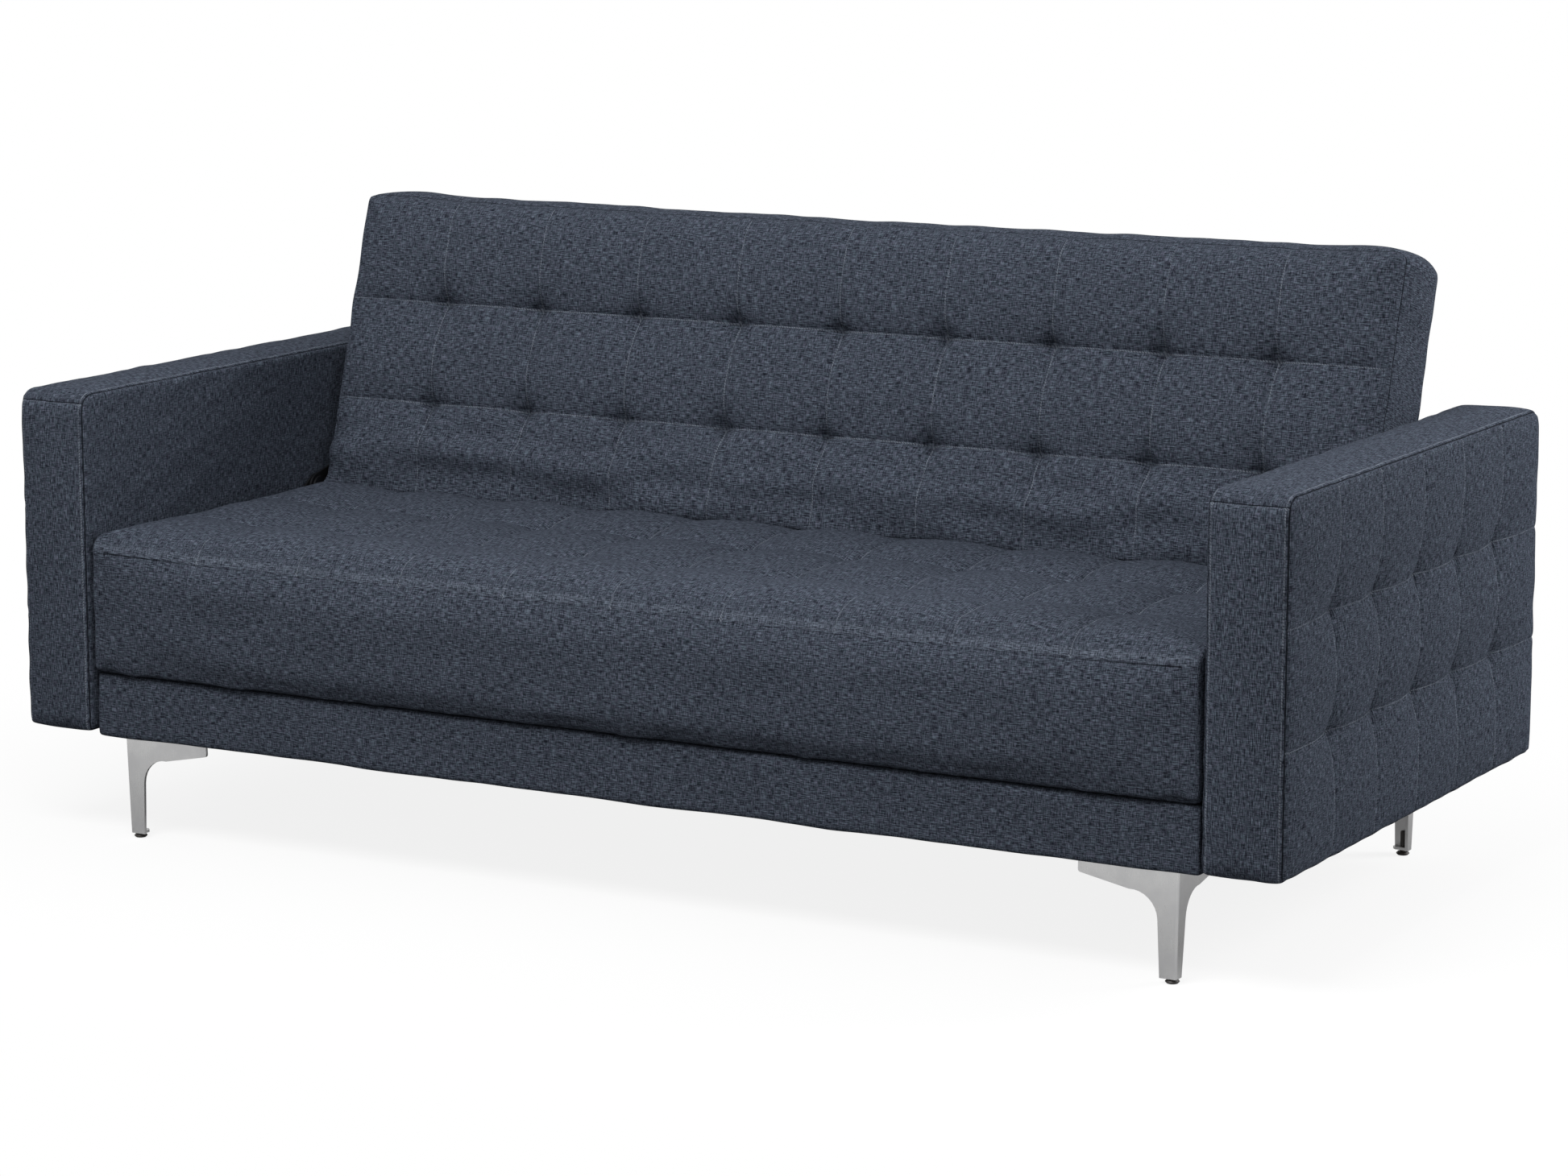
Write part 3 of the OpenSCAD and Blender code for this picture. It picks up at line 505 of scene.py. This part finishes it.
def dress(piece, slot):
    piece.data.materials.clear()
    piece.data.materials.append(MATERIALS[slot])


for sub in frame["record"]["subparts"]:
    dress(frame["nodes"][sub["node"]], sub["material_slot"])


# ------------------------------------------------------------------ padded pieces

def upholster(name, body, nodes, lines, plane, depth, corners, rims, middle, quilt, hold, cap,
              surface, turn=None, lift=None, spread=None, turned_weave=False):
    """One padded piece. lines are its three lists of lattice lines. quilt(rest) gives each point's
    move along its normal before the cloth solver, hold(rest) its pin weight, and surface(rest)
    the last move, the distance from a quilting stitch, that from a seam, and the painted shade at a
    tuft's knot, negative where a highlight is painted instead. lift(rest) then raises points, and
    spread(rest) moves them along X. turned_weave lays the slubs upright."""
    rest, quads, sides = lattice(*lines)
    shaped = round_box(rest, plane, depth, corners, rims)
    shaped = shaped + normals(mesh_of("shape", shaped, quads)) * quilt(rest)[:, None]
    swollen = inflate(shaped, quads, hold(rest), cap)
    uv = unfolded(rest, quads, sides, middle)
    if turned_weave:
        uv = [(v, u) for u, v in uv]
    piece = subdivided(name, swollen, quads, uv, rest)
    mesh = piece.data
    rest = stored(mesh, "rest")
    move, stitch, seam, hollow = surface(rest)
    co = positions(mesh) + normals(mesh) * move[:, None]
    if lift:
        co[:, 2] += lift(rest)
    if spread:
        co[:, 0] += spread(rest)
    place_points(mesh, co)
    if turn is not None:
        mesh.transform(turn)
    store(mesh, "stitch", np.minimum(stitch, 0.03))
    store(mesh, "seam", np.minimum(seam, 0.03))
    store(mesh, "hollow", hollow)
    dress(piece, "cover_fabric")
    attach(piece, body)
    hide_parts(*nodes)
    return piece


def groove(distance, depth, width):
    return -depth * np.exp(-(distance / width) ** 2)


def pin_weights(face, from_columns, from_rows, still):
    """How firmly the cloth solver holds each point: fully at the tufts' knots and where still is
    set, and partly along the stitched lines of the face."""
    on_column, on_row = from_columns < ON, from_rows < ON
    weight = np.where((on_column | on_row) & face, 0.3, 0.0)
    weight[(on_column & on_row & face) | still] = 1.0
    return weight


def pocket(a, b):
    """Depth of a tuft's dimple, 1 at the knot, from distances already divided by its width. It
    reaches further along the stitched lines, as creases do. It also shapes the painted shade at the
    knots."""
    return np.exp(-((a ** 0.75 + b ** 0.75) ** (1 / 0.75)) ** 1.1)


FAR = 1.0                # stands for "no stitch or seam near here"
FINE = 0.0004            # added to a stitch's distance where its thread is finer
SEAM_BACK = 0.024        # from the seat's top and ends to the seams of its front


def seat_pad():
    lo, hi = np.array(seat_lo), np.array(seat_hi)
    half = hi[0]
    columns = [k * QUILT_PITCH for k in range(-4, 5)]
    rows = [lo[1] + 0.192, lo[1] + 0.385]
    front_seam = hi[2] - SEAM_BACK
    side_seam = half - SEAM_BACK
    x_stops = [-half, -side_seam, *columns, side_seam, half]
    xs = graded(x_stops, [3] + [14] * 10 + [3])
    ys = graded([lo[1], lo[1] + 0.03, *rows, hi[1] - 0.03, hi[1]], [4, 12, 14, 12, 4])
    zs = graded([lo[2] + 0.0008, lo[2] + 0.014, front_seam, hi[2]], [3, 11, 4], 0.2)

    def on_top(rest):
        """1 on the quilted top, falling to 0 round its edges."""
        edge = np.minimum.reduce([half - np.abs(rest[:, 0]), rest[:, 1] - lo[1],
                                  hi[1] - rest[:, 1]])
        return smooth((rest[:, 2] - hi[2] + 0.001) / 0.001) * smooth(edge / 0.05)

    def quilt(rest):
        x, y = rest[:, 0], rest[:, 1]
        dx, dy = near(x, columns), near(y, rows)
        rise_y, rise_x = away(dy, 0.045), away(dx, 0.040)
        return on_top(rest) * (0.007 * rise_y + 0.006 * rise_x + 0.003 * rise_y * rise_x - 0.007)

    def hold(rest):
        x, y, z = rest.T
        still = (z < lo[2] + 0.004) | (np.abs(x) > half - ON) | (y > hi[1] - ON)
        return pin_weights(z > hi[2] - ON, near(x, columns), near(y, rows), still)

    def surface(rest):
        x, y, z = rest.T
        top = z > hi[2] - ON
        front = y < lo[1] + ON
        over_front = front & (z > front_seam - ON) & ~top
        quilted = (top | over_front) & (np.abs(x) < half - ON)
        stitch = np.where(quilted, near(x, columns), FAR)
        stitch = np.where(top, np.minimum(stitch, near(y, rows)), stitch)
        plain_front = front & (np.abs(x) <= side_seam + ON)
        seam = np.where(plain_front, np.abs(z - front_seam), FAR)
        low_front = front & (z <= front_seam + ON)
        seam = np.where(low_front, np.minimum(seam, np.abs(np.abs(x) - side_seam)), seam)
        move = groove(stitch, 0.0022, 0.0045) + groove(seam, 0.0007, 0.003)
        faint = 0.0008 * smooth((half - 0.03 - np.abs(x)) / 0.25)
        seam += np.where(np.abs(z - front_seam) < 0.004, faint, 0.0009)
        dx, dy = near(x, columns), near(y, rows)
        move -= 0.011 * top * pocket(dx / 0.017, dy / 0.017)
        # Painted shade at each tuft's knot
        hollow = 0.8 * top * pocket(dx / 0.009, dy / 0.011)
        # Painted highlight: a lighter band above the front seam, where the edge rounds over
        edge = np.exp(-((z - front_seam - 0.011) / 0.007) ** 2)
        edge *= 0.8 + 0.4 * ripple(x, z, 0.05, 9)
        hollow = np.where(over_front, -0.5 * edge, hollow)
        uneven = (z > lo[2] + 0.02) & (y < hi[1] - ON)    # not where the flat back meets it
        move += 0.0009 * ripple(x, y + z, 0.09, 5) * uneven
        move += 0.0014 * ripple(x, z, 0.16, 6, 1.6) * front * smooth((front_seam - z) / 0.03)
        above_seam = np.abs(z - front_seam - 0.003) + FINE
        beside_seam = np.abs(np.abs(x) - side_seam - 0.004) + FINE
        stitch = np.where(front & (z > front_seam), np.minimum(stitch, above_seam), stitch)
        stitch = np.where(low_front, np.minimum(stitch, beside_seam), stitch)
        return move, stitch, seam, hollow

    def spread(rest):
        """The seat's ends swell out towards the arms, ahead of the hinge's plates."""
        x, y = rest[:, 0], rest[:, 1]
        outer = smooth((np.abs(x) - half + 0.12) / 0.12)
        return np.sign(x) * 0.011 * outer * smooth((lo[1] + 0.26 - y) / 0.07)

    def hem(rest):
        """Pulls the front's lower edge up a little, unevenly, as stapled cover does."""
        x, y, z = rest.T
        near_edge = smooth((lo[1] + 0.014 - y) / 0.008) * smooth((lo[2] + 0.03 - z) / 0.02)
        rise = 0.0026 + 0.0024 * ripple(x, 0 * x, 0.12, 7) + 0.0010 * ripple(x, 0 * x, 0.045, 8)
        corner = 0.004 * np.exp(-((half - 0.03 - np.abs(x)) / 0.018) ** 2)
        return near_edge * (np.maximum(rise, 0) + corner)

    return upholster("seat_pad", "seat", ["seat_cushion"], (xs, ys, zs), [1, 2], 0,
                     [0.008, 0.004, 0.022, 0.026], [0.011, 0.011], "+z", quilt, hold, 0.010,
                     surface, lift=hem, spread=spread)


def back_pad():
    half = back_hi[0]
    columns = [k * QUILT_PITCH for k in range(-4, 5)]
    rows = [0.143, 0.300]
    length, depth = BACK_LENGTH, BACK_DEPTH
    gap = 0.0004             # keeps the pad's face and foot off the planes through the pin
    face_seam = 0.013        # from the face to the seam that runs round the pad
    xs = graded([-half, -half + 0.04, *columns, half - 0.04, half], [7, 12] + [14] * 8 + [12, 7])
    ys = graded([gap, face_seam, depth - 0.012, depth - 0.0045], [3, 10, 3], 0.1)
    zs = graded([gap, 0.02, *rows, length - 0.04, length], [3, 14, 18, 15, 7])

    def on_face(rest):
        """1 on the quilted face, falling to 0 round its edges."""
        edge = np.minimum(np.minimum(half - np.abs(rest[:, 0]), rest[:, 2]), length - rest[:, 2])
        return (rest[:, 1] < gap + ON) * smooth(edge / 0.04)

    def beside_rows(z):
        """Height above the nearest stitched row below, and depth below the nearest one above. Each
        pillow hangs over the row under it, so its lower edge is the steep one."""
        above = np.where(z >= rows[1], z - rows[1], np.where(z >= rows[0], z - rows[0], FAR))
        below = np.where(z < rows[0], rows[0] - z, np.where(z < rows[1], rows[1] - z, FAR))
        return above, below

    def quilt(rest):
        x, z = rest[:, 0], rest[:, 2]
        dx = near(x, columns)
        above, below = beside_rows(z)
        pillow = 0.009 * away(above, 0.022) * away(below, 0.055) + 0.003 * away(dx, 0.035)
        low = 0.006 * np.exp(-((z - 0.060) / 0.038) ** 2)
        return on_face(rest) * (pillow + low - 0.003)

    def hold(rest):
        x, y, z = rest.T
        still = (y > 0.02) & (z < length - ON) | (z < gap + ON) | (np.abs(x) > half - ON)
        return pin_weights(y < gap + ON, near(x, columns), near(z, rows), still)

    def surface(rest):
        x, y, z = rest.T
        face = y < gap + ON
        inner = face & (np.abs(x) < half - ON)
        stitch = np.where(inner, np.minimum(near(x, columns), near(z, rows)), FAR)
        rim = np.minimum(half - np.abs(x), length - z)
        seam = np.where(rim < ON, np.abs(y - face_seam), FAR)
        move = groove(stitch, 0.0016, 0.0035) + groove(seam, 0.0012, 0.003)
        low = smooth((0.14 - z) / 0.05) * face
        above, below = beside_rows(z)
        dx = near(x, columns)
        move -= 0.016 * face * pocket(dx / 0.022, np.minimum(above / 0.026, below / 0.036))
        # Painted shade in the dimple over each knot, reaching up from the row
        hollow = face * pocket(dx / 0.016, np.minimum(above / 0.018, below / 0.005))
        foot = z < gap + ON    # the end that meets the seat when the back lies flat
        move += np.where(foot, -0.0007, 0.0010 * ripple(x, z, 0.08, 11))
        move += 0.0055 * low * ripple(x, z, 0.06, 12, 3.5)
        move += 0.0055 * np.exp(-((z / 0.014) ** 2 + (y / 0.014) ** 2))    # fills the joint
        from_seam = np.clip((y - face_seam) / (depth - 0.018), 0, 1)
        crowned = (rim < ON) * np.sin(math.pi * from_seam)
        at_corner = smooth((z - 0.34) / 0.06) * smooth((np.abs(x) - half + 0.16) / 0.12)
        move += 0.008 * crowned * at_corner
        stitch = np.where(rim < ON, np.abs(np.abs(y - face_seam) - 0.0035) + FINE, stitch)
        return move, stitch, seam, hollow

    return upholster("back_pad", "backrest", ["back_cushion"], (xs, ys, zs), [0, 2], 1,
                     [0.006, 0.006, 0.016, 0.016], [0.018, 0.006], "-y", quilt, hold, 0.012,
                     surface, back_turn)


def arm_cover(side, sign):
    band_lo, band_hi = (np.array(c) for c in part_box("arm_band_" + side))
    inner, outer = sorted((abs(band_lo[0]), abs(band_hi[0])))
    lo, hi = np.array([inner, band_lo[1], band_lo[2]]), np.array([outer, band_hi[1], band_hi[2]])
    rim = 0.012
    pitch_y, pitch_z = (hi[1] - lo[1] - 2 * rim) / 6, (hi[2] - lo[2] - 2 * rim) / 3
    columns = [lo[1] + rim + pitch_y * k for k in range(1, 6)]
    rows = [lo[2] + rim + pitch_z * k for k in range(1, 3)]
    xs = graded([inner, inner + 0.006, outer - 0.006, outer], [2, 8, 2], 0.1)
    ys = graded([lo[1], lo[1] + 0.030, *columns, hi[1] - 0.030, hi[1]],
                [4, 10] + [12] * 4 + [10, 4])
    zs = graded([lo[2], lo[2] + 0.030, *rows, hi[2] - 0.030, hi[2]], [4, 11, 13, 11, 6])

    def from_edge(rest):
        """Distance from the nearest edge of the arm's side."""
        y, z = rest[:, 1], rest[:, 2]
        return np.minimum.reduce([y - lo[1], hi[1] - y, z - lo[2], hi[2] - z])

    def outside(rest):
        """1 on the quilted outer side, falling to 0 round its edges."""
        return (rest[:, 0] > outer - ON) * smooth((from_edge(rest) - rim) / 0.025)

    def quilt(rest):
        y, z = rest[:, 1], rest[:, 2]
        dy, dz = near(y, columns), near(z, rows)
        rise_y, rise_z = away(dy, 0.042), away(dz, 0.045)
        return outside(rest) * (0.006 * rise_y + 0.010 * rise_z - 0.004 * rise_y * rise_z - 0.007)

    def hold(rest):
        x, y, z = rest.T
        edge = from_edge(rest)
        ends = (np.abs(x - inner) < ON) | (np.abs(x - outer) < ON)
        still = (ends & (edge < rim)) | ((x < inner + ON) & (edge < 0.3))
        return pin_weights(x > outer - ON, near(y, columns), near(z, rows), still)

    def surface(rest):
        x, y, z = rest.T
        face = x > outer - ON
        stitch = np.where(face, np.minimum(near(y, columns), near(z, rows)), FAR)
        edge = from_edge(rest)
        from_panel = np.minimum(np.abs(x - outer), np.abs(x - inner))
        seam = 0.6 * np.maximum(from_panel + edge - 0.0008, 0)
        across = (y < lo[1] + ON) | (y > hi[1] - ON)
        seam = np.where(across, np.minimum(seam, np.abs(z - hi[2] + 0.012)), seam)
        move = groove(stitch, 0.0015, 0.0035) + groove(seam, 0.0018, 0.0022)
        dy, dz = near(y, columns), near(z, rows)
        move -= 0.006 * face * pocket(dy / 0.022, dz / 0.022)
        # Painted shade at each tuft's knot
        hollow = 0.7 * face * pocket(dy / 0.009, dz / 0.012)
        stitch = np.where(edge < ON, np.abs(from_panel - 0.006), stitch)
        stitch = np.where(across, np.minimum(stitch, np.abs(z - hi[2] + 0.015) + FINE), stitch)
        stitch = np.where(face, np.minimum(stitch, np.abs(edge - 0.009) + FINE), stitch)
        move += 0.0008 * ripple(y, z + x, 0.07, 21 + sign)
        return move, stitch, seam, hollow

    turn = None if sign > 0 else Matrix.Scale(-1, 4, Vector((1, 0, 0)))
    nodes = [n + side for n in ("arm_band_", "arm_outer_pad_", "arm_inner_panel_")]
    piece = upholster("arm_cover_" + side, "base", nodes, (xs, ys, zs), [1, 2], 0,
                      [0.010, 0.010, 0.028, 0.028], [0.007, 0.009], "+x", quilt, hold, 0.008,
                      surface, turn, turned_weave=True)
    if sign < 0:
        piece.data.flip_normals()
    return piece


def plain_strip(name, body, node, middle, corners, wave, seed, steps, box, turn=None, lift=None,
                thin=0):
    """A padded strip or panel with no quilting, a little uneven as hand-stapled cover is, but not
    on its top. box is its place, steps the number of lattice steps along each axis, and thin the
    axis that its rounded outline is seen along."""
    lo, hi = (np.array(c) for c in box)
    lines = [graded([lo[i], hi[i]], [steps[i]], 0.3) for i in range(3)]

    def surface(rest):
        x, y, z = rest.T
        nothing = np.full(len(rest), FAR)
        below_top = smooth((hi[2] - z - 0.001) / 0.008)
        uneven = wave * below_top * ripple(x, z + 0.5 * y, 0.11, seed, 1.8)
        return uneven, nothing, nothing, 0 * x

    outline = [i for i in range(3) if i != thin]
    return upholster(name, body, [node], lines, outline, thin, corners, [0.002, 0.002], middle,
                     lambda rest: np.zeros(len(rest)), lambda rest: np.ones(len(rest)), 0.001,
                     surface, turn, lift=lift)


seat_pad()
back_pad()
for side_name, side_sign in (("left", -1), ("right", 1)):
    arm_cover(side_name, side_sign)
for end, facing, seed in (("front", -1, 31), ("rear", 1, 32)):
    # The strip of cover goes over the top of its rail and round its two ends
    strip_lo, strip_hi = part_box("base_apron_" + end)
    rail_lo, rail_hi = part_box("base_%s_rail" % end)
    y_out, y_in = strip_lo[1] - 0.0015, rail_hi[1] + 0.002
    corners = [0.006, 0.001, 0.001, 0.006]
    if facing > 0:
        y_out, y_in = strip_hi[1] + 0.0015, rail_lo[1] - 0.002
        corners = [0.001, 0.006, 0.006, 0.001]
    wrap = ((rail_lo[0] - 0.0035, min(y_out, y_in), strip_lo[2]),
            (rail_hi[0] + 0.0035, max(y_out, y_in), rail_hi[2] + 0.0008))

    def sag(rest, low=strip_lo[2], seed=seed):
        """The strip's lower edge, a little wavy between its staples."""
        x = rest[:, 0]
        wave = ripple(x, 0 * x, 0.3, seed) + 0.3 * ripple(x, 0 * x, 0.08, seed + 5)
        return -0.0007 * smooth((low + 0.03 - rest[:, 2]) / 0.03) * (wave + 0.6)

    plain_strip("apron_" + end, "base", "base_apron_" + end, "-y" if facing < 0 else "+y", corners,
                0.0012, seed, (150, 6, 12), wrap, lift=sag)
rear_inset = 0.005       # from the pad's edges: the cover hides the stiles' outer edges
rear_box = ((-back_hi[0] + rear_inset, BACK_DEPTH - 0.005, rear_inset),
            (back_hi[0] - rear_inset, BACK_DEPTH, BACK_LENGTH - rear_inset))
plain_strip("back_rear_cover", "backrest", "back_rear_panel", "+y",
            [0.004, 0.004, 0.013, 0.013], 0.0008, 33, (120, 2, 40), rear_box, back_turn, thin=1)


# ------------------------------------------------------------------ stage, light and camera

def light_path_share(nodes, links):
    """1 for rays from the camera, in mirrors and through glass, 0 for the light that falls."""
    path = nodes.new("ShaderNodeLightPath")
    total = path.outputs["Is Camera Ray"]
    for name in ("Is Glossy Ray", "Is Transmission Ray"):
        add = nodes.new("ShaderNodeMath")
        add.operation = "MAXIMUM"
        links.new(total, add.inputs[0])
        links.new(path.outputs[name], add.inputs[1])
        total = add.outputs[0]
    return total


def surroundings(ambient):
    world = bpy.data.worlds.new("studio")
    bpy.context.scene.world = world
    world.use_nodes = True
    nodes, links = world.node_tree.nodes, world.node_tree.links
    background = nodes["Background"]
    background.inputs["Color"].default_value = (1, 1, 1, 1)
    level = nodes.new("ShaderNodeMapRange")
    level.inputs["To Min"].default_value = ambient
    level.inputs["To Max"].default_value = 1.0
    links.new(light_path_share(nodes, links), level.inputs["Value"])
    links.new(level.outputs[0], background.inputs["Strength"])


def floor():
    """White to the eye, with the object's shadow, and mid grey to the light it bounces back. In mirrors it is a
    darker grey with less white near the object: painted shade in the reflections.
    """
    far = 14
    corners = [(-far, -far, 0), (far, -far, 0), (far, far, 0), (-far, far, 0)]
    mesh = mesh_of("floor", corners, [(0, 1, 2, 3)])
    plane = bpy.data.objects.new("floor", mesh)
    bpy.context.scene.collection.objects.link(plane)
    s = Shader("floor")
    seen = light_path_share(s.nodes, s.links)
    place = s.put("ShaderNodeSeparateXYZ", {0: s.object_place()})
    from_object = s.math("MAXIMUM", s.math("SUBTRACT", s.math("ABSOLUTE", place.outputs[0]), 0.9),
                         s.math("SUBTRACT", s.math("ABSOLUTE", place.outputs[1]), 0.4))
    mirrored = s.put("ShaderNodeLightPath").outputs["Is Glossy Ray"]
    white_seen = s.ramp(from_object, -0.1, 1.0, 0.86, 1.0)
    # Mirrors see less white and a darker grey ground near the object: painted shade in the legs' reflections
    white_mirrored = s.ramp(from_object, 0.15, 0.75, 0.08, 1.0)
    plain = s.put("ShaderNodeMix", {0: mirrored, 2: white_seen, 3: white_mirrored}).outputs[0]
    plain = s.math("MULTIPLY", plain, seen)
    shown = s.mix(mirrored, (0.9, 0.9, 0.9, 1), (0.5, 0.5, 0.5, 1))
    colour = s.mix(seen, (0.2, 0.2, 0.2, 1), shown)
    ground = s.put("ShaderNodeBsdfDiffuse", {"Color": colour})
    white = s.put("ShaderNodeEmission", {"Strength": 1.0})
    mixed = s.put("ShaderNodeMixShader", {0: plain, 1: ground.outputs[0], 2: white.outputs[0]})
    output = next(n for n in s.nodes if n.type == "OUTPUT_MATERIAL")
    s.links.new(mixed.outputs[0], output.inputs["Surface"])
    s.nodes.remove(s.surface)
    mesh.materials.append(s.material)


def softbox(name, place, target, size, watts):
    data = bpy.data.lights.new(name, "AREA")
    data.shape = "RECTANGLE"
    data.size, data.size_y = size
    data.energy = watts
    lamp = bpy.data.objects.new(name, data)
    lamp.location = place
    lamp.rotation_euler = (Vector(target) - Vector(place)).to_track_quat("-Z", "Y").to_euler()
    bpy.context.scene.collection.objects.link(lamp)


def camera(place, yaw, pitch, lens):
    data = bpy.data.cameras.new("camera")
    data.lens = lens
    data.clip_end = 60
    cam = bpy.data.objects.new("camera", data)
    cam.location = place
    yaw, pitch = math.radians(yaw), math.radians(pitch)
    level = math.cos(pitch)
    forward = Vector((-math.sin(yaw) * level, math.cos(yaw) * level, -math.sin(pitch)))
    cam.rotation_euler = forward.to_track_quat("-Z", "Y").to_euler()
    bpy.context.scene.collection.objects.link(cam)
    bpy.context.scene.camera = cam


surroundings(ambient=0.45)
floor()
softbox("key", (0.1, -2.5, 3.5), target=(0, 0, 0.45), size=(2.4, 1.4), watts=134)
softbox("side", (3.5, 2.2, 2.1), target=(0, 0, 0.4), size=(1.4, 1.4), watts=125)
camera((3.201, -5.676, 1.580), yaw=29.23, pitch=10.43, lens=105.34)
bpy.context.scene.view_settings.view_transform = "Standard"
